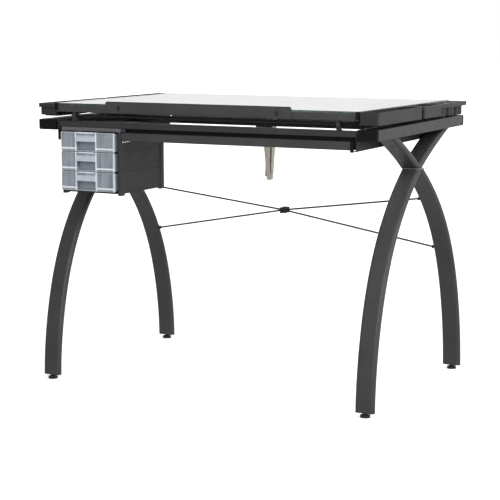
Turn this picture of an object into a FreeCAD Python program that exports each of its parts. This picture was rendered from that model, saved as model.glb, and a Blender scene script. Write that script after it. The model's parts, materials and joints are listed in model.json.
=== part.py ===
"""Drafting table with a tilting glass top, side trays, a pencil ledge and hanging drawers.

Millimetres, +X to the sitter's right, +Y away from the sitter, +Z up.
Origin on the floor under the centre of the table.
"""
import FreeCAD, Part
import math
import os

from FreeCAD import Vector

os.makedirs("parts", exist_ok=True)

# ---- driving dimensions -------------------------------------------------------------
HEIGHT = 798.0            # floor to the top face of the glass
FOOT_X = 492.0            # leveller centres
FOOT_Y = 327.0
LEG_WIDE = 54.0           # leg tube, across the table
LEG_THICK = 20.0          # leg tube, front to back
LEG_ROUND = 9.0           # nearly full-round sides of the leg tube
TUBE_WALL = 1.5
SHEET = 2.0               # folded steel sheet
CROSS_Z = 628.0           # weld where the legs of one end cross
LEG_CUT_Z = 12.0          # flat cut of a leg above the floor
CROSS_Y = -12.5           # the legs cross a little in front of the middle
LEG_BOW = (356.3, -316.4, 413.9)   # quadratic, cubic and quartic bow over LEG_RISE
LEG_RISE = 700.0
LEG_STATIONS = range(-50, 701, 50)
ARM_X = 487.4             # the upper arms stand a little inboard of the legs
ARM_SPREAD = (1.57, 0.00424)       # slope at the crossing, and its growth with height
ARM_RISE = 122.0
ARM_STATIONS = range(550, 801, 50)

GLASS_T = 5.0
GLASS_X = 465.0
GLASS_Y = 325.0
TOP_BOTTOM = 768.0        # underside of the tilting frame's side rails
TOP_RAIL_X = (442.0, 464.0)
FRONT_RAIL_Y = (-327.0, -307.0)
FRONT_RAIL_Z = 773.0      # underside of the tilting frame's front rail
REAR_RAIL_Y = (307.0, 327.0)
TOP_BAR_Y = (122.0, 144.0)
HINGE_Y = -318.0
HINGE_Z = 764.0
HINGES_X = (-407.0, 406.0)
EAR_R = 8.0
ROD_R = 4.0

RAIL_X = (463.0, 519.5)   # outer side rails that sit on the arms
RAIL_Y = (-332.0, 312.0)
RAIL_Z = (722.0, 752.0)
CAP = 10.0                # visible length of a rail's end cap
BASE_LEAN = 0.45          # degrees that the rails and channels rise towards the rear
LEAN_Y = -320.0
CHANNEL_X = (450.0, 460.0)
CHANNEL_Y = (-326.0, 300.0)
CHANNEL_Z = (694.0, 746.0)
UPPER_BAR_Z = (731.0, 748.0)
LOWER_BAR_Z = (697.0, 720.0)
APRON_FRONT = -322.0
APRON_DEPTH = 20.0
REAR_APRON_Y = (285.0, 299.0)
REAR_APRON_Z = (706.0, 750.0)
MID_BAR_Y = (30.0, 55.0)
MID_BAR_Z = (726.0, 745.0)
BUMPER_Y = 240.0

TRAY_X = (468.0, 522.5)
TRAY_Z = (763.0, 796.5)
TRAY_WALL = 2.0
LONG_TRAY_Y = (-331.0, -26.0)
CUP_TRAY_Y = (-11.0, 330.0)
CUP_CENTRES = (158.0, 223.0, 290.0)
CUP_X = 495.5
CUP_R = 24.0
CUP_BOTTOM = 759.5
CUP_RIM_Z = 785.0         # underside of the cup tray's rim
RIM_OVERHANG = 8.0        # how far that rim reaches past the square pocket's end
SHELF_Z = (760.5, 762.5)

LEDGE_X = (-298.0, 275.0)
LEDGE_Y = (-331.0, -328.0)
LEDGE_Z = (774.0, 806.0)
LEDGE_RISE = 7.0          # travel of the ledge above its rest place
GUIDE_SCREWS = (-255.0, 233.0)
GUIDE_Z = 789.5
SLOT_R = 2.6

CASE_X = (-450.0, -255.0)
CASE_Y = (-322.0, -83.0)
CASE_Z = (543.0, 731.0)
POST_X = 11.0
POST_Y = 22.0
CASE_TOP_T = 10.0
PANEL_T = 3.0
DRAWERS = ("bottom", "middle", "top")
DRAWER_FRONT_X = (-447.0, -271.0)
DRAWER_BODY_X = (-436.0, -270.0)
DRAWER_BOTTOM = 552.5
DRAWER_PITCH = 55.5
DRAWER_FRONT_Y = -331.0
DRAWER_WALL = 2.0
PULL_X = (-397.0, -330.0)

BRACE_LOW = (237.0, 376.0)     # y and z of the rod ends on the legs
BRACE_HIGH = (118.0, 530.0)
BRACE_MID = (196.0, 463.0)
BRACE_OFFSET = 3.6             # the crossing rods pass this far before and behind the middle
BRACE_R = 2.5
CLAMP_HALF = 9.4                # half the distance between the clamp plates

STAY_BASE = (70.0, 733.0)      # y and z of the folding stay's pivots
STAY_TOP = (110.0, 772.0)
STAY_ELBOW = (92.0, 589.0)
WAIST = 0.3                    # place along an arm where it is widest
PIN_R = 3.0
RUNNING = 0.05                 # radial clearance of a running fit


# ---- helpers ------------------------------------------------------------------------
def block(x, y, z):
    """Box from three (low, high) pairs."""
    return Part.makeBox(x[1] - x[0], y[1] - y[0], z[1] - z[0], Vector(x[0], y[0], z[0]))


def rounded(solid, radius, keep):
    """Fillet the straight edges for which keep(direction, middle) is true."""
    edges = []
    for edge in solid.Edges:
        if len(edge.Vertexes) == 2:
            run = edge.Vertexes[1].Point - edge.Vertexes[0].Point
            run.normalize()
            if keep(run, edge.CenterOfMass):
                edges.append(edge)
    return solid.makeFillet(radius, edges)


def along(axis):
    """Edge filter for rounded(): edges that run along x, y or z."""
    return lambda run, middle: abs(getattr(run, axis)) > 0.99


def rod(start, end, radius):
    """Round bar between two points."""
    a, b = Vector(*start), Vector(*end)
    return Part.makeCylinder(radius, (b - a).Length, a, b - a)


def hex_head(centre, axis, across, thick):
    """Hexagon head or nut that starts at centre and runs along axis."""
    points = [Vector(across / math.sqrt(3) * math.cos(math.radians(60 * k)),
                     across / math.sqrt(3) * math.sin(math.radians(60 * k)), 0) for k in range(7)]
    head = Part.Face(Part.makePolygon(points)).extrude(Vector(0, 0, thick))
    head.Placement = FreeCAD.Placement(
        Vector(*centre), FreeCAD.Rotation(Vector(0, 0, 1), Vector(*axis)))
    return head


def pan_head(centre, axis, radius, thick):
    """Low domed screw head whose flat seat is at centre."""
    direction = Vector(*axis)
    seat = Part.makeCylinder(radius, thick, Vector(*centre), direction)
    rim = [edge for edge in seat.Edges
           if (edge.CenterOfMass - Vector(*centre)).dot(direction) > thick * 0.9
           and edge.Closed]
    return seat.makeFillet(thick * 0.6, rim)


def mirror_x(solid):
    return solid.mirror(Vector(0, 0, 0), Vector(1, 0, 0))


def mirror_y(solid):
    return solid.mirror(Vector(0, 0, 0), Vector(0, 1, 0))


def moved_y(solid, shift):
    copy = solid.copy()
    copy.translate(Vector(0, shift, 0))
    return copy


def leaned(solid):
    """Copy that rises towards the rear with the base frame's sides."""
    copy = solid.copy()
    copy.rotate(Vector(0, LEAN_Y, RAIL_Z[0]), Vector(1, 0, 0), BASE_LEAN)
    return copy


def largest(shape):
    """Biggest solid of a shape, without the slivers that a coped end leaves."""
    return max(shape.Solids, key=lambda solid: solid.Volume)


def save(name, *solids):
    """Write one node; several solids become one compound."""
    shape = solids[0] if len(solids) == 1 else Part.makeCompound(list(solids))
    shape.exportStep("parts/" + name + ".step")


def save_pair(name, right):
    """Write a right-hand node and its mirror image."""
    save(name + "_right", right)
    save(name + "_left", mirror_x(right))


def rect_tube(x, y, z, axis, radius=3.0):
    """Rectangular steel tube, open at both ends of the given axis."""
    outer = rounded(block(x, y, z), radius, along(axis))
    grow = {"x": (-1, 1, 1), "y": (1, -1, 1), "z": (1, 1, -1)}[axis]
    spans = []
    for (low, high), sign in zip((x, y, z), grow):
        spans.append((low + sign * TUBE_WALL, high - sign * TUBE_WALL))
    bore = rounded(block(*spans), radius - TUBE_WALL, along(axis))
    return outer.cut(bore)


# ---- legs ---------------------------------------------------------------------------
def leg_line(z, end):
    """y and slope at height z of a leg's centre line; end is -1 for front, 1 for rear."""
    s = z / LEG_RISE
    two, three, four = LEG_BOW
    out = FOOT_Y - two * s ** 2 - three * s ** 3 - four * s ** 4
    out_slope = -(2 * two * s + 3 * three * s ** 2 + 4 * four * s ** 3) / LEG_RISE
    shift = CROSS_Y * (z / CROSS_Z) ** 3
    shift_slope = 3 * CROSS_Y * z ** 2 / CROSS_Z ** 3
    return end * out + shift, end * out_slope + shift_slope


def arm_line(z, end):
    """The same for an upper arm, which spreads from the crossing up to the rail."""
    rise = z - CROSS_Z
    slope, growth = ARM_SPREAD
    out = slope * rise + growth * rise ** 2
    out_slope = slope + 2 * growth * rise
    shift = CROSS_Y * (1 - rise / ARM_RISE)
    return end * out + shift, end * out_slope - CROSS_Y / ARM_RISE


def leg_band(line, end, x_centre, inset, low, high):
    """Curved flat-oval bar that follows line, inset from the tube's skin, cut level at both ends."""
    width = LEG_WIDE - 2 * inset
    thick = LEG_THICK - 2 * inset
    sides = []
    for sign in (-1, 1):
        points = []
        for z in LEG_STATIONS if line is leg_line else ARM_STATIONS:
            y, slope = line(z, end)
            size = math.hypot(1.0, slope)
            points.append(Vector(x_centre - width / 2,
                                 y + sign * thick / 2 / size,
                                 z - sign * thick / 2 * slope / size))
        spline = Part.BSplineCurve()
        spline.interpolate(points)
        sides.append(spline.toShape())
    ends = [Part.makeLine(sides[0].valueAt(sides[0].ParameterRange[k]),
                          sides[1].valueAt(sides[1].ParameterRange[k])) for k in (0, 1)]
    outline = Part.Wire(Part.__sortEdges__(sides + ends))
    band = Part.Face(outline).extrude(Vector(width, 0, 0))
    long_edges = [edge for edge in band.Edges if edge.Length > 4 * width]
    band = band.makeFillet(LEG_ROUND - inset, long_edges)
    slab = block((x_centre - width, x_centre + width), (-500, 500), (low, high))
    return band.common(slab)


def leg_tube(line, end, x_centre, low, high):
    """Outer and inner bodies of one leg tube."""
    return (leg_band(line, end, x_centre, 0.0, low, high),
            leg_band(line, end, x_centre, TUBE_WALL, low, high))


def legs():
    """Legs below the crossing and arms above it; the rear ones are cut against the front ones."""
    above = leaned(block((0, 600), (-500, 500), (RAIL_Z[0], RAIL_Z[1] + 100)))
    spans = (("leg", leg_line, FOOT_X, LEG_CUT_Z, CROSS_Z), ("arm", arm_line, ARM_X, CROSS_Z, RAIL_Z[1]))
    for name, line, x, low, high in spans:
        front_outer, front_inner = leg_tube(line, -1, x, low, high)
        rear_outer, rear_inner = leg_tube(line, 1, x, low, high)
        save_pair(name + "_front", largest(front_outer.cut(front_inner).cut(above)))
        save_pair(name + "_rear", largest(rear_outer.cut(rear_inner).cut(above).cut(front_outer)))


def leg_plugs():
    """Plastic plugs in the leg ends, threaded for the levellers."""
    plugs = []
    for end in (-1, 1):
        plug = leg_band(leg_line, end, FOOT_X, TUBE_WALL + 0.1, LEG_CUT_Z, LEG_CUT_Z + 22.0)
        bore = Part.makeCylinder(4.0 + RUNNING, 30.0, Vector(FOOT_X, end * FOOT_Y, LEG_CUT_Z - 2))
        plugs.append(plug.cut(bore))
    save("leg_plugs", *plugs, *[mirror_x(solid) for solid in plugs])


def levellers():
    pad = Part.makeCylinder(13.5, 7.0)
    pad = pad.makeFillet(1.5, [edge for edge in pad.Edges if edge.Closed and edge.CenterOfMass.z > 6])
    neck = Part.makeCone(8.0, 6.0, 3.5, Vector(0, 0, 7.0))
    stud = Part.makeCylinder(4.0, 20.0, Vector(0, 0, 7.0))
    leveller = pad.fuse([neck, stud]).removeSplitter()
    for y_name, y_sign in (("front", -1), ("rear", 1)):
        for x_name, x_sign in (("left", -1), ("right", 1)):
            foot = leveller.copy()
            foot.translate(Vector(x_sign * FOOT_X, y_sign * FOOT_Y, 0))
            save("leveller_" + y_name + "_" + x_name, foot)


# ---- base frame ---------------------------------------------------------------------
def end_cap():
    """Front end cap of the right rail, with a soft lower nose and a spigot in the tube."""
    y = RAIL_Y[0]
    cap = block(RAIL_X, (y, y + CAP), RAIL_Z)
    nose = [edge for edge in cap.Edges
            if abs(edge.CenterOfMass.y - y) < 0.1 and abs(edge.CenterOfMass.z - RAIL_Z[0]) < 0.1]
    cap = cap.makeFillet(6.0, nose)
    cap = cap.common(rounded(block(RAIL_X, (y - 1, y + CAP), RAIL_Z), 3.0, along("y")))
    slack = TUBE_WALL + 0.1
    spigot = block((RAIL_X[0] + slack, RAIL_X[1] - slack), (y + CAP, y + CAP + 12.0),
                   (RAIL_Z[0] + slack, RAIL_Z[1] - slack))
    return cap.fuse(rounded(spigot, 1.4, along("y"))).removeSplitter()


def side_rails():
    span = (RAIL_Y[0] + CAP, RAIL_Y[1] - CAP)
    save_pair("side_rail", leaned(rect_tube(RAIL_X, span, RAIL_Z, "y")))

    front = end_cap()
    rear = moved_y(mirror_y(front), RAIL_Y[0] + RAIL_Y[1])
    caps = [leaned(front), leaned(rear)]
    clip = block((CHANNEL_X[0] - 10, CHANNEL_X[0] - 0.1), (APRON_FRONT - 2, APRON_FRONT + 1.9),
                 (LOWER_BAR_Z[0] - 5, LOWER_BAR_Z[1] + 2))
    clip = rounded(clip, 1.5, along("z"))
    save("frame_end_caps", *caps, *[mirror_x(solid) for solid in caps], clip)


def side_channels():
    """Folded channels inside the rails that carry the aprons, open towards the middle."""
    x, y, z = CHANNEL_X, CHANNEL_Y, CHANNEL_Z
    outer = rounded(block(x, y, z), 3.0, lambda run, mid: abs(run.y) > 0.99 and mid.x > x[1] - 1)
    hollow = block((x[0] - 1, x[1] - SHEET), (y[0] - 1, y[1] + 1), (z[0] + SHEET, z[1] - SHEET))
    bar_room = block((x[0] - 1, x[1] - SHEET), (y[0] - 1, APRON_FRONT + APRON_DEPTH + 1),
                     (UPPER_BAR_Z[0], z[1] + 1))
    channel = leaned(outer.cut(hollow)).cut(bar_room)
    save_pair("side_channel", channel)


def aprons():
    inner = CHANNEL_X[0]
    web_inner = CHANNEL_X[1] - SHEET - 0.1
    case_side = CASE_X[1] + 3.0
    back = APRON_FRONT + APRON_DEPTH
    save("front_apron_upper_bar",
         rect_tube((-web_inner, web_inner), (APRON_FRONT, back), UPPER_BAR_Z, "x"))
    save("front_apron_web", block((case_side, inner), (back, back + SHEET),
                                  (LOWER_BAR_Z[0], UPPER_BAR_Z[1] - 4)))
    save("front_apron_lower_bar",
         rect_tube((case_side, inner - 6), (APRON_FRONT + 2, back), LOWER_BAR_Z, "x"))

    y, z = REAR_APRON_Y, REAR_APRON_Z
    rear = rounded(block((-inner, inner), y, z), 3.0,
                   lambda run, mid: abs(run.x) > 0.99 and mid.y > y[1] - 1)
    hollow = block((-inner - 1, inner + 1), (y[0] - 1, y[1] - SHEET), (z[0] + SHEET, z[1] - SHEET))
    save("rear_apron", rear.cut(hollow))


def top_rest_bumpers():
    """Rubber buffers on the channels, under the tilting frame's side rails."""
    x = (CHANNEL_X[0] + CHANNEL_X[1]) / 2
    stem_room = leaned(block((0, 600), (-400, 400), (CHANNEL_Z[0], CHANNEL_Z[1])))
    stem = Part.makeCylinder(4.0, TOP_BOTTOM - 0.3 - CHANNEL_Z[1], Vector(x, BUMPER_Y, CHANNEL_Z[1]))
    head = Part.makeCone(5.0, 4.2, 6.0, Vector(x, BUMPER_Y, TOP_BOTTOM - 6.3))
    bumper = stem.fuse(head).removeSplitter().cut(stem_room)
    save("top_rest_bumpers", bumper, mirror_x(bumper))


def mid_bar():
    inner = CHANNEL_X[1] - SHEET - 0.1
    save("mid_cross_bar", rect_tube((-inner, inner), MID_BAR_Y, MID_BAR_Z, "x", 2.5))


def brace_path(sign):
    """Left end, middle and right end of a tie rod; sign is the side of its low end."""
    reach = FOOT_X - LEG_WIDE / 2 - 0.1
    high = Vector(-sign * reach, *BRACE_HIGH)
    low = Vector(sign * reach, *BRACE_LOW)
    middle = Vector(0.0, BRACE_MID[0] - sign * BRACE_OFFSET, BRACE_MID[1])
    return high, middle, low


def brace():
    """Two bent tie rods that cross between the rear legs, and the clamp that joins them."""
    for name, sign in (("a", 1), ("b", -1)):
        high, middle, low = brace_path(sign)
        bar = rod(high, middle, BRACE_R).fuse([rod(middle, low, BRACE_R),
                                              Part.makeSphere(BRACE_R, middle)])
        span = block((low.x, high.x) if sign < 0 else (high.x, low.x), (0, 400), (0, 700))
        save("brace_rod_" + name, bar.common(span).removeSplitter())

    y, z = BRACE_MID
    plates = []
    for middle in (y - CLAMP_HALF, y + CLAMP_HALF):
        plate = block((-11, 11), (middle - 1.2, middle + 1.2), (z - 9, z + 9))
        plates.append(rounded(plate, 4.0, along("y")))
    bolt = rod((-7.0, y - CLAMP_HALF, z - 7), (-7.0, y + CLAMP_HALF, z - 7), 1.6)
    nut = hex_head((-7.0, y - CLAMP_HALF - 4.2, z - 7), (0, 1, 0), 6.0, 3.2)
    save("brace_clamp", plates[0].fuse([plates[1], bolt, nut]).removeSplitter())


def frame_fasteners():
    """Lock nuts on the tie rods' ends and the bolts between channels and rails."""
    parts = []
    for sign in (-1, 1):
        high, middle, low = brace_path(sign)
        for end in (high, low):
            along_rod = (middle - end).normalize()
            start = end + along_rod * 2.0
            nut = hex_head(start, along_rod, 9.0, 5.0)
            parts.append(nut.cut(rod(end, end + along_rod * 20.0, BRACE_R + RUNNING)))
        for y in (-270.0, -90.0, 90.0, 270.0):
            head = pan_head((sign * (CHANNEL_X[1] - SHEET), y, 737.0), (-sign, 0, 0), 6.0, 3.0)
            shank = rod((sign * CHANNEL_X[1], y, 737.0), (sign * RAIL_X[0], y, 737.0), 3.0)
            parts.extend([leaned(head), leaned(shank)])
    save("frame_fasteners", *parts)


# ---- front hinges -------------------------------------------------------------------
def ear(x, low_z, high_z):
    """Plate round the hinge axis that reaches down to low_z or up to high_z."""
    round_end = Part.makeCylinder(EAR_R, x[1] - x[0], Vector(x[0], HINGE_Y, HINGE_Z), Vector(1, 0, 0))
    plate = block(x, (HINGE_Y - EAR_R, HINGE_Y + EAR_R), (low_z, high_z))
    hole = Part.makeCylinder(ROD_R + RUNNING, x[1] - x[0] + 2,
                             Vector(x[0] - 1, HINGE_Y, HINGE_Z), Vector(1, 0, 0))
    return round_end.fuse(plate).removeSplitter().cut(hole)


def hinges():
    base, top = [], []
    for x in HINGES_X:
        foot = block((x - 4, x + 4), (APRON_FRONT, APRON_FRONT + 18),
                     (UPPER_BAR_Z[1], UPPER_BAR_Z[1] + SHEET))
        plates = [ear(side, UPPER_BAR_Z[1], HINGE_Z) for side in ((x - 4, x - 2), (x + 2, x + 4))]
        base.append(foot.fuse(plates).removeSplitter())
        top.append(ear((x - 1.6, x + 1.6), HINGE_Z, FRONT_RAIL_Z))
    save("hinge_brackets_base", *base)
    save("hinge_brackets_top", *top)
    low, high = HINGES_X[0] - 7, HINGES_X[1] + 7
    ends = [rod((x, HINGE_Y, HINGE_Z), (x + 2.5, HINGE_Y, HINGE_Z), 6.0) for x in (low, high - 2.5)]
    shaft = rod((low, HINGE_Y, HINGE_Z), (high, HINGE_Y, HINGE_Z), ROD_R)
    save("hinge_rod", shaft.fuse(ends).removeSplitter())


# ---- tilting top --------------------------------------------------------------------
def top_frame():
    under_glass = HEIGHT - GLASS_T
    x_in = TOP_RAIL_X[0]
    front = rect_tube((-TOP_RAIL_X[1], TOP_RAIL_X[1]), FRONT_RAIL_Y, (FRONT_RAIL_Z, under_glass), "x")
    save("top_front_rail", front)
    rear = rect_tube((-TOP_RAIL_X[1], TOP_RAIL_X[1]), REAR_RAIL_Y, (TOP_BOTTOM, under_glass), "x")
    save("top_rear_rail", rear)
    side = rect_tube(TOP_RAIL_X, (FRONT_RAIL_Y[1], REAR_RAIL_Y[0]), (TOP_BOTTOM, under_glass), "y")
    save_pair("top_side_rail", side)
    bar = rect_tube((-x_in, x_in), TOP_BAR_Y, (TOP_BOTTOM + 3, under_glass - 2), "x")
    save("top_cross_bar", bar)



def tray_angle(x_sign, shelves):
    """Lip along a side rail with shelves under the trays' flat-bottomed parts."""
    lip = block((TOP_RAIL_X[1], TOP_RAIL_X[1] + SHEET), (-318, 318), (SHELF_Z[1], CUP_RIM_Z - 1.0))
    plates = [block((TOP_RAIL_X[1], TOP_RAIL_X[1] + 44), span, SHELF_Z) for span in shelves]
    angle = lip.fuse(plates).removeSplitter()
    return angle if x_sign > 0 else mirror_x(angle)


def tray_shelves():
    save("tray_shelves", tray_angle(1, [(-318, pocket_end() - 2)]),
         tray_angle(-1, [(-318, pocket_end() + LEFT_CUPS_SHIFT - 2), (28, 318)]))


def glass():
    slab = block((-GLASS_X, GLASS_X), (-GLASS_Y, GLASS_Y), (HEIGHT - GLASS_T, HEIGHT))
    slab = rounded(slab, 6.0, along("z"))
    rims = [edge for edge in slab.Edges if abs(edge.CenterOfMass.z - HEIGHT) < 0.01]
    save("glass_top", slab.makeChamfer(0.8, rims))


def glass_corner_pads():
    """Small rubber-faced stops that hold the glass by its four corners."""
    pads = []
    for x_sign in (-1, 1):
        for y_sign in (-1, 1):
            x = sorted((x_sign * (GLASS_X - 8), x_sign * (GLASS_X + 2.4)))
            y = sorted((y_sign * (GLASS_Y - 6), y_sign * (GLASS_Y + 5)))
            stop = block(x, y, (HEIGHT - 20, HEIGHT - 0.5))
            stop = rounded(stop, 1.5, along("z"))
            glass_room = rounded(block((-GLASS_X - 0.2, GLASS_X + 0.2), (-GLASS_Y - 0.2, GLASS_Y + 0.2),
                                       (HEIGHT - GLASS_T, HEIGHT + 1)), 6.0, along("z"))
            rails = block((-TOP_RAIL_X[1], TOP_RAIL_X[1]), (FRONT_RAIL_Y[0], REAR_RAIL_Y[1]),
                          (TOP_BOTTOM, HEIGHT - GLASS_T))
            shelf_lip = block((TOP_RAIL_X[1] - 1, TOP_RAIL_X[1] + SHEET + 0.1), (-319, 319), (758, 787))
            mirrored = mirror_x(shelf_lip)
            pads.append(stop.cut(glass_room).cut(rails).cut(shelf_lip).cut(mirrored))
    save("glass_corner_pads", *pads)


def ledge():
    """Pencil ledge, a plate that slides up and down on two screws."""
    plate = block(LEDGE_X, LEDGE_Y, LEDGE_Z)
    plate = rounded(plate, 7.0, lambda run, mid: abs(run.y) > 0.99 and mid.z > HEIGHT)
    hem = block((LEDGE_X[0] + 8, LEDGE_X[1] - 8), (LEDGE_Y[0] - 2.0, LEDGE_Y[0]),
                (LEDGE_Z[0], LEDGE_Z[0] + 3))
    plate = plate.fuse(hem).removeSplitter()
    bottom = GUIDE_Z - LEDGE_RISE - 0.3
    for x in GUIDE_SCREWS:
        ends = [Part.makeCylinder(SLOT_R, 10, Vector(x, LEDGE_Y[0] - 4, z), Vector(0, 1, 0))
                for z in (bottom, GUIDE_Z + 0.3)]
        middle = block((x - SLOT_R, x + SLOT_R), (LEDGE_Y[0] - 4, LEDGE_Y[1] + 3), (bottom, GUIDE_Z + 0.3))
        plate = plate.cut(ends[0].fuse([ends[1], middle]))
    save("pencil_ledge", plate)


def top_fasteners():
    """Ledge guide screws."""
    screws = []
    for x in GUIDE_SCREWS:
        head = pan_head((x, LEDGE_Y[0] - 0.4, GUIDE_Z), (0, -1, 0), 4.5, 2.2)
        shank = rod((x, LEDGE_Y[0] - 0.4, GUIDE_Z), (x, FRONT_RAIL_Y[0], GUIDE_Z), 2.0)
        screws.append(head.fuse(shank))
    save("ledge_guide_screws", *screws)


# ---- side trays ---------------------------------------------------------------------
def tray_box(x, y, radius):
    """Outer body and pocket of an open-topped moulded box."""
    outer = rounded(block(x, y, TRAY_Z), radius, along("z"))
    outer = outer.makeFillet(2.0, [edge for edge in outer.Edges
                                   if abs(edge.CenterOfMass.z - TRAY_Z[0]) < 0.01])
    pocket = rounded(block((x[0] + TRAY_WALL, x[1] - TRAY_WALL), (y[0] + TRAY_WALL, y[1] - TRAY_WALL),
                           (TRAY_Z[0] + TRAY_WALL, TRAY_Z[1] + 5)), radius - TRAY_WALL, along("z"))
    pocket = pocket.makeFillet(1.5, [edge for edge in pocket.Edges
                                     if abs(edge.CenterOfMass.z - TRAY_Z[0] - TRAY_WALL) < 0.01])
    return outer, pocket


def pocket_end():
    """y where the cup tray's square pocket ends and its cups begin."""
    return CUP_CENTRES[0] - CUP_R - 6


def long_tray():
    outer, pocket = tray_box(TRAY_X, LONG_TRAY_Y, 5.0)
    return outer.cut(pocket)


def cup_well(y, radius, bottom, edge_radius):
    """Round body with a softened bottom edge, up to just under the tray's top face."""
    well = Part.makeCylinder(radius, TRAY_Z[1] - 0.5 - bottom, Vector(CUP_X, y, bottom))
    return well.makeFillet(edge_radius, [edge for edge in well.Edges
                                         if edge.Closed and edge.CenterOfMass.z < bottom + 1])


def cup_tray():
    """Square pocket and three round cups under one overhanging rim."""
    y_low, y_high = CUP_TRAY_Y
    box, box_pocket = tray_box((TRAY_X[0], TRAY_X[1] - 2.0), (y_low + RIM_OVERHANG, pocket_end()), 5.0)
    rim = rounded(block(TRAY_X, CUP_TRAY_Y, (CUP_RIM_Z, TRAY_Z[1])), 5.0, along("z"))
    under = rounded(block((TRAY_X[0] + TRAY_WALL, TRAY_X[1] - TRAY_WALL),
                          (pocket_end(), y_high - TRAY_WALL), (CUP_RIM_Z - 1, TRAY_Z[1] - TRAY_WALL)),
                    3.0, along("z"))
    tray = rim.cut(under).fuse(box)
    holes = [box_pocket]
    for y in CUP_CENTRES:
        tray = tray.fuse(cup_well(y, CUP_R, CUP_BOTTOM, 3.0))
        hole = cup_well(y, CUP_R - TRAY_WALL, CUP_BOTTOM + TRAY_WALL, 2.5)
        holes.append(hole.fuse(Part.makeCylinder(CUP_R - TRAY_WALL, 20.0, Vector(CUP_X, y, TRAY_Z[1] - 5))))
    for hole in holes:
        tray = tray.cut(hole)
    return tray.removeSplitter()


LEFT_CUPS_SHIFT = LONG_TRAY_Y[0] - CUP_TRAY_Y[0]
LEFT_LONG_SHIFT = CUP_TRAY_Y[1] - LONG_TRAY_Y[1]


def trays():
    long_right, cups_right = long_tray(), cup_tray()
    save("tray_long_front_right", long_right)
    save("tray_cups_rear_right", cups_right)
    save("tray_long_rear_left", mirror_x(moved_y(long_right, LEFT_LONG_SHIFT)))
    save("tray_cups_front_left", mirror_x(moved_y(cups_right, LEFT_CUPS_SHIFT)))


# ---- drawer unit --------------------------------------------------------------------
def seam(solid, y, x_face):
    """Cut the shallow grooves where the stacked case modules meet."""
    for k in range(1, len(DRAWERS)):
        z = DRAWER_BOTTOM + k * DRAWER_PITCH
        x = (x_face - 0.8, x_face + 0.8)
        solid = solid.cut(block(x, y, (z - 0.8, z + 0.8)))
    return solid


def drawer_case():
    x, y, z = CASE_X, CASE_Y, CASE_Z
    posts = []
    for px in ((x[0], x[0] + POST_X), (x[1] - POST_X, x[1])):
        for py in ((y[0], y[0] + POST_Y), (y[1] - POST_Y, y[1])):
            posts.append(rounded(block(px, py, (z[0], z[1] - CASE_TOP_T)), 3.0, along("z")))
    save("drawer_case_posts", *posts)

    floor_z = (z[0] + 5, DRAWER_BOTTOM - 1.0)
    base = block(x, y, floor_z)
    for post in posts:
        room = post.BoundBox
        base = base.cut(block((room.XMin, room.XMax), (room.YMin, room.YMax), z))
    save("drawer_case_base", base)

    top = block(x, y, (z[1] - CASE_TOP_T, z[1]))
    top = rounded(top, 2.0, along("y"))
    hollow = block((x[0] + PANEL_T, x[1] - PANEL_T), (y[0] + PANEL_T, y[1] - PANEL_T),
                   (z[1] - CASE_TOP_T + 2.5, z[1] + 1))
    save("drawer_case_top", top.cut(hollow))

    panel_y = (y[0] + POST_Y, y[1] - POST_Y)
    panel_z = (floor_z[1], z[1] - CASE_TOP_T)
    right = block((x[1] - 2 - PANEL_T, x[1] - 2), panel_y, panel_z)
    left = block((x[0] + 2, x[0] + 2 + PANEL_T), panel_y, panel_z)
    runners_right, runners_left = [], []
    for k in range(1, len(DRAWERS)):
        low = DRAWER_BOTTOM + k * DRAWER_PITCH
        shelf = (low + 0.2, low + 2.2)
        runners_right.append(block((DRAWER_BODY_X[1] - 6, x[1] - 2 - PANEL_T), panel_y, shelf))
        runners_left.append(block((x[0] + 2 + PANEL_T, DRAWER_BODY_X[0] + 6), panel_y, shelf))
    right = seam(right.fuse(runners_right).removeSplitter(), panel_y, x[1] - 2)
    left = seam(left.fuse(runners_left).removeSplitter(), panel_y, x[0] + 2)
    save("drawer_case_side_right", right)
    save("drawer_case_side_left", left)
    back = block((x[0] + POST_X, x[1] - POST_X), (y[1] - 2 - PANEL_T, y[1] - 2), panel_z)
    save("drawer_case_back", back)

    hangers = []
    for low, high, upright in ((x[0], x[0] + 14, x[0]), (x[1] - 14, x[1], x[1] - SHEET)):
        span = (APRON_FRONT + APRON_DEPTH + SHEET, MID_BAR_Y[0])
        flat = block((low, high), span, (z[1], z[1] + SHEET))
        web = block((upright, upright + SHEET), span, (z[1], z[1] + 12))
        hangers.append(flat.fuse(web).removeSplitter())
    save("drawer_hangers", *hangers)


def drawer_case_hook():
    """Bent wire catch on the right-hand side of the drawer case."""
    x = CASE_X[1] + 1.6
    y, z = CASE_Y[0] + 9, 692.0
    corner = Part.makeSphere(1.5, Vector(x, y, z))
    upright = rod((x, y, z), (x, y, z + 18), 1.5)
    arm = rod((x, y, z), (x, y + 46, z + 2), 1.5)
    plate = rounded(block((x - 1.6, x - 0.4), (y - 5, y + 5), (z + 12, z + 22)), 2.0, along("x"))
    save("drawer_case_hook", corner.fuse([upright, arm, plate]).removeSplitter())


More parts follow.
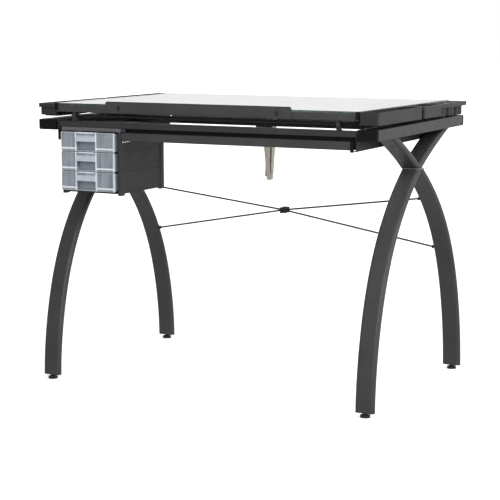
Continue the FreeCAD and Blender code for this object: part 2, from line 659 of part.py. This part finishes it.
def drawer(level):
    """Open-topped moulded drawer with a scooped finger pull in its front."""
    low = DRAWER_BOTTOM + level * DRAWER_PITCH
    z = (low + 2.6, low + DRAWER_PITCH - 3.0)
    front_z = (low + 0.6, low + DRAWER_PITCH - 0.6)
    y_back = CASE_Y[1] - POST_Y - 2
    front_y = (DRAWER_FRONT_Y, DRAWER_FRONT_Y + 4.0)
    x = (DRAWER_BODY_X[0] + 1.0, DRAWER_BODY_X[1] - 1.0)

    body = rounded(block(x, (front_y[1], y_back), z), 5.0,
                   lambda run, mid: abs(run.z) > 0.99 and mid.y > y_back - 1)
    front = rounded(block(DRAWER_FRONT_X, front_y, front_z), 2.0, along("y"))
    room = rounded(block((x[0] + DRAWER_WALL, x[1] - DRAWER_WALL),
                         (front_y[1], y_back - DRAWER_WALL), (z[0] + DRAWER_WALL, z[1] + 9)),
                   3.0, lambda run, mid: abs(run.z) > 0.99 and mid.y > y_back - 5)
    shell = body.cut(room).fuse(front)

    middle = (front_z[0] + front_z[1]) / 2 + 1.0
    scoop = block((PULL_X[0] + 3, PULL_X[1] - 3), (front_y[0] - 1, front_y[1] + 10),
                  (front_z[0] + 4, middle))
    back_wall = block((PULL_X[0] + 1, PULL_X[1] - 1), (front_y[1] - 1, front_y[1] + 12),
                      (front_z[0] + 2, middle + 2))
    ribs = [block((px - 2, px + 2), (front_y[0] - 1.6, front_y[0]), (front_z[0] + 1, front_z[1] - 1))
            for px in PULL_X]
    edges = [block((DRAWER_FRONT_X[0] + 1, DRAWER_FRONT_X[1] - 1), (front_y[0] - 1.0, front_y[0]), edge_z)
             for edge_z in ((front_z[0] + 0.5, front_z[0] + 3.5), (front_z[1] - 3.5, front_z[1] - 0.5))]
    edges += [block(edge_x, (front_y[0] - 1.0, front_y[0]), (front_z[0] + 1, front_z[1] - 1))
              for edge_x in ((DRAWER_FRONT_X[0] + 1, DRAWER_FRONT_X[0] + 4),
                             (DRAWER_FRONT_X[1] - 5, DRAWER_FRONT_X[1] - 1))]
    lip = Part.Face(Part.makePolygon([
        Vector(PULL_X[0] + 2, front_y[0], middle), Vector(PULL_X[0] + 2, front_y[0] - 5, middle),
        Vector(PULL_X[0] + 2, front_y[0] - 5, middle + 3), Vector(PULL_X[0] + 2, front_y[0], front_z[1] - 6),
        Vector(PULL_X[0] + 2, front_y[0], middle)])).extrude(Vector(PULL_X[1] - PULL_X[0] - 4, 0, 0))
    shell = shell.fuse([back_wall, lip] + ribs + edges).cut(scoop)
    return shell.removeSplitter()


def drawers():
    for level, name in enumerate(DRAWERS):
        save("drawer_" + name, drawer(level))


# ---- folding stay -------------------------------------------------------------------
def strap(x, start, end, widths, tail):
    """Flat plate between two pivots, widest at WAIST along it, round at the first pivot."""
    run = Vector(0, end[0] - start[0], end[1] - start[1])
    waist = run * WAIST
    run.normalize()
    side = Vector(0, -run.z, run.y)
    a = Vector(x[0], start[0], start[1])
    stations = [a, a + waist, Vector(x[0], end[0], end[1]) + run * tail]
    one = [point + side * (wide / 2) for point, wide in zip(stations, widths)]
    other = [point - side * (wide / 2) for point, wide in zip(stations, widths)]
    outline = one + other[::-1] + one[:1]
    plate = Part.Face(Part.makePolygon(outline)).extrude(Vector(x[1] - x[0], 0, 0))
    nose = Part.makeCylinder(widths[0] / 2, x[1] - x[0], a, Vector(1, 0, 0))
    return plate.fuse(nose).removeSplitter()


def pin_hole(point, radius=PIN_R + RUNNING):
    return Part.makeCylinder(radius, 60.0, Vector(-30, point[0], point[1]), Vector(1, 0, 0))


def stay():
    """Folding elbow stay under the middle of the top; it hangs folded when the top is flat."""
    inner_x, plate_t = 7.0, 1.6
    widths, tail = (17.0, 25.0, 14.0), 25.0
    flanges = [strap(x, STAY_BASE, STAY_ELBOW, widths, tail)
               for x in ((-inner_x, -inner_x + plate_t), (inner_x - plate_t, inner_x))]
    run = Vector(0, STAY_ELBOW[0] - STAY_BASE[0], STAY_ELBOW[1] - STAY_BASE[1])
    pivot = Vector(-inner_x, STAY_BASE[0], STAY_BASE[1])
    start = pivot + run * WAIST
    end = pivot + run + run.normalize() * tail
    side = Vector(0, run.z, -run.y)
    corners = [start + side * (widths[1] / 2), end + side * (widths[2] / 2),
               end + side * (widths[2] / 2 - plate_t), start + side * (widths[1] / 2 - plate_t)]
    web = Part.Face(Part.makePolygon(corners + corners[:1])).extrude(Vector(2 * inner_x, 0, 0))
    lower = flanges[0].fuse([flanges[1], web]).cut(pin_hole(STAY_BASE)).removeSplitter()
    save("stay_lower_arm", lower)

    outer_x = 10.0
    plates = [strap(x, STAY_TOP, STAY_ELBOW, (20.0, 28.0, 14.0), 16.0)
              for x in ((-outer_x, -outer_x + plate_t), (outer_x - plate_t, outer_x))]
    plates = [plate.cut(pin_hole(STAY_TOP)) for plate in plates]
    rivets = [rod((sign * (outer_x - 2), STAY_ELBOW[0], STAY_ELBOW[1]),
                  (sign * (outer_x + 1.5), STAY_ELBOW[0], STAY_ELBOW[1]), 3.6) for sign in (-1, 1)]
    tie_z = STAY_TOP[1] - 22.0
    tie = rod((-outer_x, STAY_TOP[0], tie_z), (outer_x, STAY_TOP[0], tie_z), 2.5)
    upper = plates[0].fuse([plates[1], tie] + rivets).removeSplitter()
    save("stay_upper_arm", upper)

    y, z = STAY_BASE
    reach = (MID_BAR_Y[1], y)
    ears = []
    for sign in (-1, 1):
        x = sorted((sign * (inner_x + 0.5), sign * (inner_x + 2.5)))
        plate = block(x, reach, (z - 9, z + 9))
        nose = Part.makeCylinder(9.0, 2.0, Vector(x[0], y, z), Vector(1, 0, 0))
        ears.append(plate.fuse(nose).removeSplitter())
    back = block((-26, 26), (MID_BAR_Y[1], MID_BAR_Y[1] + SHEET), (z - 15, z + 11))
    pin = rod((-inner_x - 4, y, z), (inner_x + 4, y, z), PIN_R)
    save("stay_base_bracket", back.fuse(ears + [pin]).removeSplitter())

    y, z = STAY_TOP
    ears = []
    for sign in (-1, 1):
        x = sorted((sign * (outer_x + 0.5), sign * (outer_x + 2.5)))
        plate = block(x, (y - 8, TOP_BAR_Y[0]), (z - 8, z + 8))
        ears.append(rounded(plate, 1.0, along("x")))
    plate = block((-22, 22), (TOP_BAR_Y[0] - SHEET, TOP_BAR_Y[0]), (z - 8, z + 17))
    pin = rod((-outer_x - 4, y, z), (outer_x + 4, y, z), PIN_R)
    plate = plate.cut(block((-outer_x - 0.5, outer_x + 0.5), (y - 20, y + 20), (z - 20, z + 11)))
    save("stay_top_bracket", plate.fuse(ears + [pin]).removeSplitter())


legs()
leg_plugs()
levellers()
side_rails()
side_channels()
aprons()
top_rest_bumpers()
mid_bar()
brace()
frame_fasteners()
hinges()
top_frame()
tray_shelves()
glass()
glass_corner_pads()
ledge()
top_fasteners()
trays()
drawer_case()
drawer_case_hook()
drawers()
stay()
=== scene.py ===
"""Looks of the drafting table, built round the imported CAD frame. Metres, +Z up."""

import json
import math

import bmesh
import bpy
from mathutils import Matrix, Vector

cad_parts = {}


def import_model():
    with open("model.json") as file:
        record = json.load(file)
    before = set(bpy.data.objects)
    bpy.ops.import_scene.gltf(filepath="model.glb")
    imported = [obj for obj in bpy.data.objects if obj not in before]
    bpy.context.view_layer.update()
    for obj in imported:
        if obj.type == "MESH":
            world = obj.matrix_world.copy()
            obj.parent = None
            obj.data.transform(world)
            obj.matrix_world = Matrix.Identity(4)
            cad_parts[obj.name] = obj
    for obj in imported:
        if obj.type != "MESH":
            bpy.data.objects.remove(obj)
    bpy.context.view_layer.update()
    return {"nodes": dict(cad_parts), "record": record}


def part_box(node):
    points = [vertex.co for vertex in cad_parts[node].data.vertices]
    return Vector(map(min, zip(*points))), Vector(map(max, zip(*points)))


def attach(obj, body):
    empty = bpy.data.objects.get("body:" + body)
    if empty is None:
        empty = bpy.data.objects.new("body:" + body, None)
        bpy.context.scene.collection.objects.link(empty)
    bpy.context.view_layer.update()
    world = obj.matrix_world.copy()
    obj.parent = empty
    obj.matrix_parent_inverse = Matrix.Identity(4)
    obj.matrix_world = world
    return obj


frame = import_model()
nodes = frame["nodes"]

# ---- camera: the photograph's viewing angle ---------------------------------------------
CAMERA_PLACE = Vector((2.0570, -4.0075, 1.0359))
CAMERA_YAW = math.radians(27.36)      # turn to the left of straight ahead
CAMERA_PITCH = math.radians(8.455)    # below level
CAMERA_LENS = 112.55                  # millimetres, for the sensor below
CAMERA_SENSOR = 36.0

# ---- colours, linear --------------------------------------------------------------------
CHARCOAL = (0.042, 0.042, 0.043, 1)
# painted shade: near black for the recess of the front apron, which is dark only from shade
RECESS_PAINTED_SHADE = (0.007, 0.007, 0.007, 1)
SEMI_BLACK = (0.014, 0.014, 0.015, 1)
BLACK = (0.006, 0.006, 0.0065, 1)
TRAY_GREY = (0.022, 0.022, 0.0225, 1)
CASE_GREY = (0.030, 0.030, 0.031, 1)
# painted light: a lighter copy of the case grey for the lid, whose front catches the light
CASE_LID_PAINTED_LIGHT = (0.115, 0.117, 0.124, 1)
ZINC = (0.54, 0.51, 0.42, 1)
BRIGHT_WIRE = (0.97, 0.97, 0.96, 1)
GLASS_CLEAR = (0.992, 1.0, 0.996, 1)
GLASS_EDGE = (0.34, 0.54, 0.48, 1)
DRAWER_PANEL = (0.300, 0.330, 0.368, 1)
# painted highlight: the proud lip and the ribs paler, where the thicker plastic catches light
DRAWER_LIP_HIGHLIGHT = (0.475, 0.51, 0.57, 1)
DRAWER_RIB_HIGHLIGHT = (0.72, 0.76, 0.82, 1)
# painted light: the recess of the pull, coloured as if lit through the frosted plastic
DRAWER_RECESS_PAINTED_LIGHT = (0.25, 0.278, 0.318, 1)
FLOOR_TONES = (0.90, 0.90, 0.90, 1), (0.91, 0.91, 0.91, 1)
WHITE = (1, 1, 1, 1)


def scaled(colour, factor):
    return tuple(channel * factor for channel in colour[:3]) + (1,)


# ---- node helpers -----------------------------------------------------------------------
class Shader:
    """A material's node tree with short ways to add and join nodes."""

    def __init__(self, name):
        self.material = bpy.data.materials.new(name)
        self.material.use_nodes = True
        self.tree = self.material.node_tree
        self.surface = self.tree.nodes["Principled BSDF"]
        coords = self.add("ShaderNodeTexCoord")
        self.coords = coords.outputs["Object"]
        self.facing = coords.outputs["Normal"]

    def add(self, kind, **settings):
        node = self.tree.nodes.new(kind)
        for key, value in settings.items():
            setattr(node, key, value)
        return node

    def join(self, source, target):
        self.tree.links.new(source, target)

    def set(self, **values):
        """Constants on the surface's own sockets; underscores stand for spaces."""
        for key, value in values.items():
            self.surface.inputs[key.replace("_", " ")].default_value = value

    def noise(self, scale, detail=2.0, roughness=0.5, stretch=None):
        """Noise in object space; stretch scales the coordinates along each axis."""
        node = self.add("ShaderNodeTexNoise")
        node.inputs["Scale"].default_value = scale
        node.inputs["Detail"].default_value = detail
        node.inputs["Roughness"].default_value = roughness
        self.join(self.stretched(stretch), node.inputs["Vector"])
        return node.outputs["Fac"]

    def cells(self, scale):
        """Distance to the nearest of scattered points."""
        node = self.add("ShaderNodeTexVoronoi")
        node.inputs["Scale"].default_value = scale
        self.join(self.coords, node.inputs["Vector"])
        return node.outputs["Distance"]

    def flutes(self, scale, distortion):
        """Upright bands along X."""
        node = self.add("ShaderNodeTexWave", wave_type="BANDS", bands_direction="X", wave_profile="SIN")
        node.inputs["Scale"].default_value = scale
        node.inputs["Distortion"].default_value = distortion
        self.join(self.coords, node.inputs["Vector"])
        return node.outputs["Fac"]

    def hollows(self, reach):
        """0 deep in a hollow, 1 in the open."""
        node = self.add("ShaderNodeAmbientOcclusion", samples=8)
        node.inputs["Distance"].default_value = reach
        return node.outputs["AO"]

    def stretched(self, stretch):
        if stretch is None:
            return self.coords
        mapping = self.add("ShaderNodeMapping")
        mapping.inputs["Scale"].default_value = stretch
        self.join(self.coords, mapping.inputs["Vector"])
        return mapping.outputs["Vector"]

    def axis(self, name, vector=None):
        split = self.add("ShaderNodeSeparateXYZ")
        self.join(self.coords if vector is None else vector, split.inputs["Vector"])
        return split.outputs[name]

    def ramp(self, value, low, high, start=0.0, end=1.0):
        """Map value from start..end to low..high, clamped."""
        node = self.add("ShaderNodeMapRange", clamp=True)
        for key, number in (("From Min", start), ("From Max", end), ("To Min", low), ("To Max", high)):
            node.inputs[key].default_value = number
        self.join(value, node.inputs["Value"])
        return node.outputs["Result"]

    def line(self, value, place, half_width):
        """1 where value lies within half_width of place, fading out at its sides."""
        gap = self.math("ABSOLUTE", self.math("SUBTRACT", value, place))
        return self.ramp(gap, 1, 0, half_width * 0.6, half_width)

    def blend(self, factor, first, second):
        """Colour that goes from first to second with factor."""
        node = self.add("ShaderNodeMix", data_type="RGBA")
        self.join(factor, node.inputs["Factor"])
        for socket, colour in ((node.inputs[6], first), (node.inputs[7], second)):
            if isinstance(colour, bpy.types.NodeSocket):
                self.join(colour, socket)
            else:
                socket.default_value = colour
        return node.outputs[2]

    def mottled(self, value, colour, dark, light, start=0.3, end=0.7):
        """Colour that varies between two strengths of itself with value."""
        return self.blend(self.ramp(value, 0, 1, start, end), scaled(colour, dark), scaled(colour, light))

    def math(self, operation, first, second=0.0):
        node = self.add("ShaderNodeMath", operation=operation)
        for socket, value in zip(node.inputs, (first, second)):
            if isinstance(value, bpy.types.NodeSocket):
                self.join(value, socket)
            else:
                socket.default_value = value
        return node.outputs[0]

    def bump(self, height, strength, distance, normal=None):
        node = self.add("ShaderNodeBump")
        node.inputs["Strength"].default_value = strength
        node.inputs["Distance"].default_value = distance
        self.join(height, node.inputs["Height"])
        if normal is not None:
            self.join(normal, node.inputs["Normal"])
        return node.outputs["Normal"]

    def softened(self, radius):
        """Normal that rounds every edge over by radius."""
        node = self.add("ShaderNodeBevel", samples=4)
        node.inputs["Radius"].default_value = radius
        return node.outputs["Normal"]

    def edges(self, soft, reach=0.25):
        """1 on the edges, 0 on the faces, from a softened normal."""
        geometry = self.add("ShaderNodeNewGeometry")
        dot = self.add("ShaderNodeVectorMath", operation="DOT_PRODUCT")
        self.join(soft, dot.inputs[0])
        self.join(geometry.outputs["Normal"], dot.inputs[1])
        return self.ramp(dot.outputs["Value"], 1.0, 0.0, 1.0 - reach, 1.0 - reach / 12)

    def colour(self, socket):
        self.join(socket, self.surface.inputs["Base Color"])

    def roughness(self, value, low, high):
        """Uneven gloss: roughness between low and high with value."""
        self.join(self.ramp(value, low, high, 0.3, 0.7), self.surface.inputs["Roughness"])

    def normal(self, socket):
        self.join(socket, self.surface.inputs["Normal"])


# ---- materials --------------------------------------------------------------------------
def powder_coat(name, colour, rough=0.44, shine=0.36):
    """Baked coat on steel: orange peel, fine grain, uneven gloss, edges rubbed paler."""
    s = Shader(name)
    soft = s.softened(0.0009)
    worn = s.math("MULTIPLY", s.edges(soft), s.ramp(s.noise(70.0, 5.0, 0.6), 0, 0.7, 0.42, 0.66))
    patch = s.mottled(s.noise(9.0, 3.0), colour, 0.88, 1.12)
    s.colour(s.blend(worn, patch, scaled(colour, 2.6)))
    s.roughness(s.noise(60.0, 4.0), rough - 0.06, rough + 0.08)
    peel = s.bump(s.noise(420.0, 2.0), 0.22, 0.0004, soft)
    s.normal(s.bump(s.noise(1900.0, 2.0), 0.20, 0.0002, peel))
    s.set(IOR=1.5, Specular_IOR_Level=shine)
    return s.material


def moulded(name, colour, rough=0.5, grain=1300.0, depth=0.2, shine=0.3):
    """Injection-moulded plastic: fine spark-eroded grain, a painted highlight that pales every edge."""
    s = Shader(name)
    soft = s.softened(0.0007)
    # painted highlight: every edge pales part way towards twice the plastic's colour
    edge = s.math("MULTIPLY", s.edges(soft), 0.45)
    patch = s.mottled(s.noise(14.0, 2.0), colour, 0.90, 1.10)
    s.colour(s.blend(edge, patch, scaled(colour, 2.0)))
    s.roughness(s.noise(200.0, 3.0), rough - 0.05, rough + 0.07)
    s.normal(s.bump(s.cells(grain), depth, 0.0003, soft))
    s.set(IOR=1.46, Specular_IOR_Level=shine)
    return s.material


def metal(name, colour, rough=0.36, lines=0.12):
    """Plated steel: small spangles, a warm or bright tint, faint drawn lines, painted shade in hollows."""
    s = Shader(name)
    plated = s.mottled(s.cells(260.0), colour, 0.86, 1.08, 0.0, 0.6)
    # painted shade: the colour falls to a tenth of itself in hollows and inside channels
    s.colour(s.blend(s.ramp(s.hollows(0.03), 0, 1, 0.25, 0.75), scaled(colour, 0.10), plated))
    s.roughness(s.noise(300.0, 3.0), rough - 0.06, rough + 0.10)
    drawn = s.noise(600.0, 2.0, stretch=(1, 1, 0.05))
    s.normal(s.bump(drawn, lines, 0.0002, s.softened(0.0005)))
    s.set(Metallic=0.92)
    return s.material


def tempered_glass(name):
    """Clear float glass, green where one looks into its edge."""
    s = Shader(name)
    upright = s.math("ABSOLUTE", s.axis("Z", s.facing))
    flat = s.ramp(upright, 0, 1, 0.3, 0.9)
    streak = s.noise(40.0, 2.0, stretch=(1, 1, 0.1))
    s.colour(s.blend(flat, s.mottled(streak, GLASS_EDGE, 0.85, 1.2), GLASS_CLEAR))
    s.roughness(s.noise(3.0, 3.0), 0.02, 0.05)
    s.set(IOR=1.52, Transmission_Weight=0.92)
    return s.material


PULL_X = (-0.397, -0.330)          # sides of the finger pulls
RIB_HALF = 0.0024                  # half width of the pale upright ribs
FLOOR_RIB = (0.0085, 0.0030)       # height over a drawer's underside, half width
LIP_RIB = (0.0015, 0.0028)         # drop below a drawer's top, half width
PANEL_START = (0.0030, 0.0045)     # depth at which the lip and rims give way to the panels
RECESS_START = (0.0065, 0.0120)    # depth at which the panels give way to the recess of the pull


def drawer_plastic(node):
    """Frosted blue-grey polystyrene: rims and ribs paler with a painted highlight, fluted panels, a
    subsurface glow and painted light in the recess of the pull.
    """
    s = Shader("plastic_" + node)
    low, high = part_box(node)
    across, depth, up = s.axis("X"), s.axis("Y"), s.axis("Z")
    proud = s.ramp(depth, 1, 0, *(low.y + start for start in PANEL_START))
    deep = s.ramp(depth, 0, 1, *(low.y + start for start in RECESS_START))

    middle = s.line(across, sum(PULL_X) / 2, (PULL_X[1] - PULL_X[0]) / 2)
    floor_line = s.math("SUBTRACT", s.line(up, low.z + FLOOR_RIB[0], FLOOR_RIB[1]), middle)
    lip_line = s.math("MULTIPLY", s.line(up, high.z - LIP_RIB[0], LIP_RIB[1]), middle)
    rib = s.math("MAXIMUM", floor_line, lip_line)
    for place in (low.x, high.x) + PULL_X:
        rib = s.math("MAXIMUM", rib, s.line(across, place, RIB_HALF))
    rib = s.math("MULTIPLY", rib, s.math("SUBTRACT", 1.0, deep))

    flute = s.flutes(60.0, 0.4)
    panel = s.blend(flute, scaled(DRAWER_PANEL, 0.90), scaled(DRAWER_PANEL, 1.08))
    cloud = s.ramp(s.noise(22.0, 3.0, stretch=(1, 1, 2.2)), 0, 1, 0.35, 0.68)
    panel = s.blend(cloud, panel, scaled(DRAWER_PANEL, 0.86))
    streak = s.ramp(s.noise(95.0, 3.0, 0.6, stretch=(1, 1, 0.05)), 0, 1, 0.48, 0.66)
    panel = s.blend(streak, panel, scaled(DRAWER_PANEL, 0.62))
    # painted highlight: the proud lip and rims paler than the panels
    lip = s.mottled(s.noise(60.0, 2.0), DRAWER_LIP_HIGHLIGHT, 0.93, 1.05)
    front = s.blend(proud, panel, lip)
    # painted light in the recess of the pull, painted highlight on the ribs
    s.colour(s.blend(rib, s.blend(deep, front, DRAWER_RECESS_PAINTED_LIGHT), DRAWER_RIB_HIGHLIGHT))

    s.roughness(s.noise(150.0, 3.0), 0.26, 0.38)
    fluted = s.math("MULTIPLY", flute, s.math("SUBTRACT", 1.0, proud))
    s.normal(s.bump(fluted, 0.12, 0.0004, s.softened(0.0006)))
    s.set(IOR=1.5, Specular_IOR_Level=0.45,
          Subsurface_Weight=0.2, Subsurface_Scale=0.003, Subsurface_Radius=(0.8, 0.9, 1.0))
    return s.material


def rubber(name):
    """Matt black rubber with a dusty bloom."""
    s = Shader(name)
    s.colour(s.mottled(s.noise(80.0, 3.0), BLACK, 0.8, 1.6))
    s.roughness(s.noise(400.0, 2.0), 0.65, 0.80)
    s.normal(s.bump(s.noise(900.0, 2.0), 0.3, 0.0003, s.softened(0.0006)))
    s.set(Specular_IOR_Level=0.3)
    return s.material


SLOT_MATERIALS = {
    "charcoal_powder_coat": powder_coat("powder_coat_charcoal", CHARCOAL),
    "black_plastic": moulded("plastic_black", BLACK, 0.5, shine=0.12),
    "black_rubber": rubber("rubber_black"),
    "black_steel": powder_coat("steel_black", SEMI_BLACK, 0.38, 0.35),
    "zinc_plate": metal("zinc_plating", ZINC),
    "tempered_glass": tempered_glass("glass_tempered"),
    "case_plastic": moulded("plastic_case", CASE_GREY, 0.48, 900.0, 0.30),
    "tray_plastic": moulded("plastic_tray", TRAY_GREY, 0.42, shine=0.38),
    "leveller_plastic": moulded("plastic_leveller", SEMI_BLACK, 0.42),
}
# painted shade: a darker copy of the charcoal coat for the apron's upper bar and the left channel
APRON_PAINTED_SHADE = powder_coat("powder_coat_apron_painted_shade", scaled(CHARCOAL, 0.65))
# painted shade: a much darker copy of the charcoal coat for members hidden under the top or in deep shade
PAINTED_SHADE_COAT = powder_coat("powder_coat_painted_shade", scaled(CHARCOAL, 0.30), 0.55, 0.15)
# painted highlight: the weld bead five times paler than the charcoal coat, so that it shows as a light line
# at the crossing
WELD_PAINTED_HIGHLIGHT = powder_coat("powder_coat_weld_painted_highlight", scaled(CHARCOAL, 5.0), 0.30, 0.6)
# members whose shade is painted into their coat
PAINTED_SHADE_NODES = ("mid_cross_bar", "rear_apron", "top_cross_bar", "tray_shelves", "hinge_rod", "drawer_hangers",
               "top_side_rail_left", "top_side_rail_right")
NODE_MATERIALS = {
    "front_apron_upper_bar": APRON_PAINTED_SHADE,
    # painted shade: the apron's recessed web made near black
    "front_apron_web": powder_coat("powder_coat_recess_painted_shade", RECESS_PAINTED_SHADE, 0.5, 0.2),
    "side_channel_left": APRON_PAINTED_SHADE,
    # painted shade: the right channel, under the tray's overhang, made darker than the charcoal coat
    "side_channel_right": powder_coat("powder_coat_channel_painted_shade", scaled(CHARCOAL, 0.45), 0.5, 0.25),
    "drawer_bottom": drawer_plastic("drawer_bottom"),
    "drawer_middle": drawer_plastic("drawer_middle"),
    "drawer_top": drawer_plastic("drawer_top"),
    # painted light: the case lid as a lighter, glossier copy of the case plastic
    "drawer_case_top": moulded("plastic_case_lid_painted_light", CASE_LID_PAINTED_LIGHT, 0.34, 900.0, 0.2, 0.5),
    "drawer_case_hook": metal("wire_bright", BRIGHT_WIRE, 0.2, 0.05),
    **dict.fromkeys(PAINTED_SHADE_NODES, PAINTED_SHADE_COAT),
}


def dress_frame():
    """Give every CAD node its own material, or the one of its slot."""
    slots = {part["node"]: part["material_slot"] for part in frame["record"]["subparts"]}
    for name, obj in nodes.items():
        obj.data.materials.clear()
        obj.data.materials.append(NODE_MATERIALS.get(name) or SLOT_MATERIALS[slots[name]])


# ---- weld beads -------------------------------------------------------------------------
BEAD_RADIUS = 0.0016
BEAD_RIPPLE = 0.14         # share of the radius that a ripple takes away and gives
BEAD_RIPPLES = 44
BEAD_STEPS = 264
BEAD_SIDES = 8
SEAM_SQUARENESS = 0.30     # 1 is an ellipse, smaller is nearer to a rectangle
RIM_BAND = 0.0002          # depth below a leg's top in which its rim's points lie


def seam_point(centre, half_x, half_y, share):
    """Point on the flat-oval seam round a leg, at a share of one turn."""
    angle = 2 * math.pi * share
    along_x = abs(math.cos(angle)) ** SEAM_SQUARENESS * math.copysign(half_x, math.cos(angle))
    along_y = abs(math.sin(angle)) ** SEAM_SQUARENESS * math.copysign(half_y, math.sin(angle))
    return centre + Vector((along_x, along_y, 0))


def weld_bead(side):
    """Rippled bead round the seam between a pair of legs and the arms above them."""
    leg = nodes["leg_front_" + side].data
    top = max(vertex.co.z for vertex in leg.vertices)
    rim = [vertex.co for vertex in leg.vertices if vertex.co.z > top - RIM_BAND]
    low = Vector((min(v.x for v in rim), min(v.y for v in rim), top))
    high = Vector((max(v.x for v in rim), max(v.y for v in rim), top))
    centre = (low + high) / 2
    half = (high - low) / 2
    upwards = Vector((0, 0, 1))
    bm = bmesh.new()
    rings = []
    for step in range(BEAD_STEPS):
        here = seam_point(centre, half.x, half.y, step / BEAD_STEPS)
        ahead = seam_point(centre, half.x, half.y, (step + 0.5) / BEAD_STEPS)
        outward = (ahead - here).normalized().cross(upwards)
        ripple = BEAD_RIPPLE * math.cos(2 * math.pi * BEAD_RIPPLES * step / BEAD_STEPS)
        radius = BEAD_RADIUS * (1 - BEAD_RIPPLE + ripple)
        ring = []
        for k in range(BEAD_SIDES):
            turn = 2 * math.pi * k / BEAD_SIDES
            offset = outward * math.cos(turn) + upwards * math.sin(turn)
            ring.append(bm.verts.new(here + offset * radius))
        rings.append(ring)
    for first, second in zip(rings, rings[1:] + rings[:1]):
        for k in range(BEAD_SIDES):
            n = (k + 1) % BEAD_SIDES
            bm.faces.new((first[k], first[n], second[n], second[k]))
    bmesh.ops.recalc_face_normals(bm, faces=bm.faces)
    mesh = bpy.data.meshes.new("weld_bead_" + side)
    bm.to_mesh(mesh)
    bm.free()
    mesh.shade_smooth()
    mesh.materials.append(WELD_PAINTED_HIGHLIGHT)
    obj = bpy.data.objects.new(mesh.name, mesh)
    bpy.context.collection.objects.link(obj)
    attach(obj, "base_frame")


# ---- stage ------------------------------------------------------------------------------
FLOOR_REACH = 30.0
FLOOR_GLOW = (0.40, 1.0)         # the floor is a lit table, brighter away from the object
FLOOR_GLOW_REACH = (1.2, 6.0)    # metres from the middle
FLOOR_BOUNCE = 0.66              # light that comes up from the floor, as a share of the back wall's
ROOM_GLOW = 0.22                 # light from the room in front, as a share of the back wall's
ROOM_TO_WALL = (-0.5, 0.7)       # how far a direction points back, where the room turns into the wall
FLOOR_TO_WALL = (-0.12, 0.04)    # how far it points up, where the floor turns into the wall

# name, place, target, side of the square, watts
SOFTBOXES = (
    ("side_softbox", (3.3, -0.3, 1.5), (0.3, 0, 0.6), 2.0, 48),
    ("top_softbox", (0.5, 0.3, 3.2), (0, 0, 0.8), 3.2, 30),
    ("front_softbox", (1.4, -3.7, 2.5), (0, 0, 0.4), 3.0, 140),
)


def floor():
    """Pale floor. It lights nothing itself: the world stands in for its bounce."""
    s = Shader("floor_pale")
    s.colour(s.blend(s.noise(2.0), *FLOOR_TONES))
    s.set(Roughness=0.9, Emission_Color=WHITE)
    away = s.add("ShaderNodeVectorMath", operation="LENGTH")
    s.join(s.coords, away.inputs[0])
    glow = s.ramp(away.outputs["Value"], *FLOOR_GLOW, *FLOOR_GLOW_REACH)
    s.join(glow, s.surface.inputs["Emission Strength"])
    reach = FLOOR_REACH
    corners = [(-reach, -reach, 0), (reach, -reach, 0), (reach, reach, 0), (-reach, reach, 0)]
    mesh = bpy.data.meshes.new("floor")
    mesh.from_pydata(corners, [], [(0, 1, 2, 3)])
    mesh.materials.append(s.material)
    obj = bpy.data.objects.new("floor", mesh)
    obj.visible_diffuse = False
    obj.visible_glossy = False
    bpy.context.collection.objects.link(obj)


def world():
    """White studio: bright towards the back wall, dim towards the room in front and the floor."""
    data = bpy.data.worlds.new("studio")
    data.use_nodes = True
    tree = data.node_tree
    coords = tree.nodes.new("ShaderNodeTexCoord")
    split = tree.nodes.new("ShaderNodeSeparateXYZ")
    tree.links.new(coords.outputs["Generated"], split.inputs["Vector"])

    wall = tree.nodes.new("ShaderNodeMapRange")
    wall.inputs["From Min"].default_value, wall.inputs["From Max"].default_value = ROOM_TO_WALL
    wall.inputs["To Min"].default_value = ROOM_GLOW
    wall.inputs["To Max"].default_value = 1.0
    tree.links.new(split.outputs["Y"], wall.inputs["Value"])

    above = tree.nodes.new("ShaderNodeMapRange")
    above.inputs["From Min"].default_value, above.inputs["From Max"].default_value = FLOOR_TO_WALL
    above.inputs["To Min"].default_value = FLOOR_BOUNCE
    tree.links.new(wall.outputs["Result"], above.inputs["To Max"])
    tree.links.new(split.outputs["Z"], above.inputs["Value"])

    path = tree.nodes.new("ShaderNodeLightPath")
    brighter = tree.nodes.new("ShaderNodeMath")
    brighter.operation = "MAXIMUM"
    tree.links.new(above.outputs["Result"], brighter.inputs[0])
    tree.links.new(path.outputs["Is Camera Ray"], brighter.inputs[1])
    background = tree.nodes["Background"]
    background.inputs["Color"].default_value = WHITE
    tree.links.new(brighter.outputs[0], background.inputs["Strength"])
    bpy.context.scene.world = data


def softbox(name, place, target, side, power):
    data = bpy.data.lights.new(name, "AREA")
    data.shape = "SQUARE"
    data.size = side
    data.energy = power
    obj = bpy.data.objects.new(name, data)
    obj.location = place
    obj.rotation_euler = (Vector(target) - Vector(place)).to_track_quat("-Z", "Y").to_euler()
    bpy.context.collection.objects.link(obj)


def camera():
    data = bpy.data.cameras.new("camera")
    data.sensor_width = CAMERA_SENSOR
    data.lens = CAMERA_LENS
    obj = bpy.data.objects.new("camera", data)
    obj.location = CAMERA_PLACE
    flat = math.cos(CAMERA_PITCH)
    look = Vector((-math.sin(CAMERA_YAW) * flat, math.cos(CAMERA_YAW) * flat, -math.sin(CAMERA_PITCH)))
    obj.rotation_euler = look.to_track_quat("-Z", "Y").to_euler()
    bpy.context.collection.objects.link(obj)
    bpy.context.scene.camera = obj


dress_frame()
weld_bead("left")
weld_bead("right")
floor()
world()
for box in SOFTBOXES:
    softbox(*box)
camera()
bpy.context.scene.view_settings.view_transform = "Standard"
